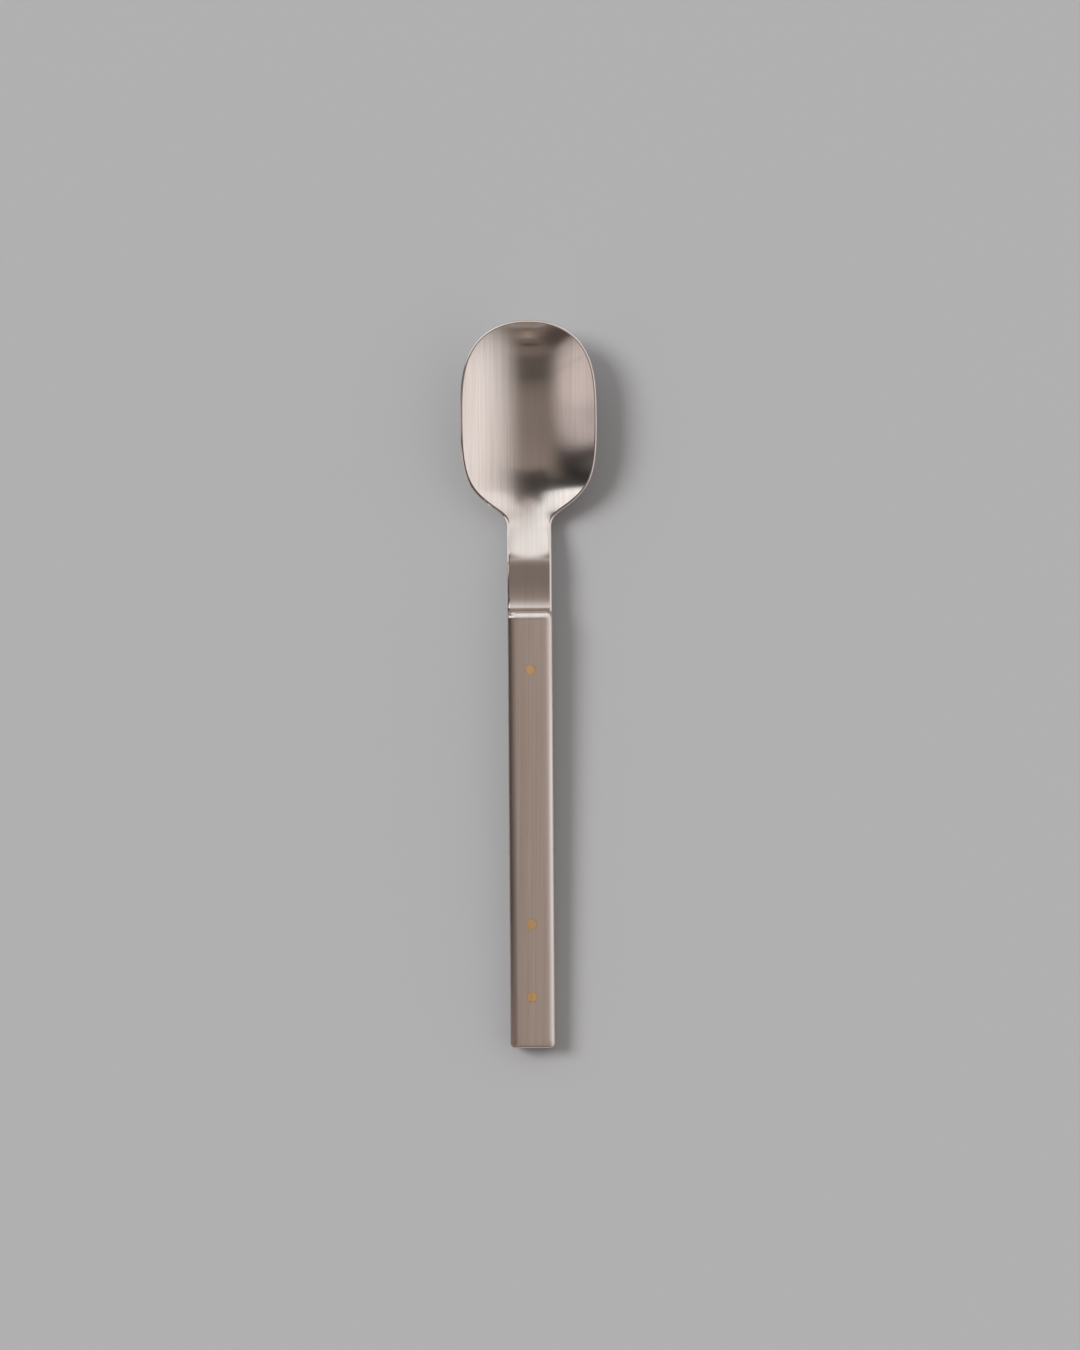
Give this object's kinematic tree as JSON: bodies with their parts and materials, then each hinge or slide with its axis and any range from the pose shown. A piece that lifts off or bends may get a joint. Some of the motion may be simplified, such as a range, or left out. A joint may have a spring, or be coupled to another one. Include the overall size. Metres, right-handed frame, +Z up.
{
  "type": "sugar spoon",
  "caption": "Sugar spoon with a rounded oblong bowl, a dipped neck and a straight bar handle whose steel scales are pinned over a full tang with brass.",
  "frame": {"origin": "centre of the spoon's footprint box at table height, with the bowl's floor and the tail of the handle on the table", "axes": "+Y runs from the tail of the handle to the tip of the bowl, +Z is up from the table, +X is to the right with the bowl pointing away"},
  "size_m": [0.0274, 0.146, 0.0077],
  "materials": {
    "blank_steel": "brushed lengthwise, satin",
    "scale_steel": "brushed lengthwise, satin",
    "pin_brass": "ground flush, satin"
  },
  "bodies": {
    "root": {"spoon_blank": "blank_steel", "scale_front": "scale_steel", "scale_back": "scale_steel", "pin_neck": "pin_brass", "pin_middle": "pin_brass", "pin_tail": "pin_brass"}
  },
  "joints": []
}
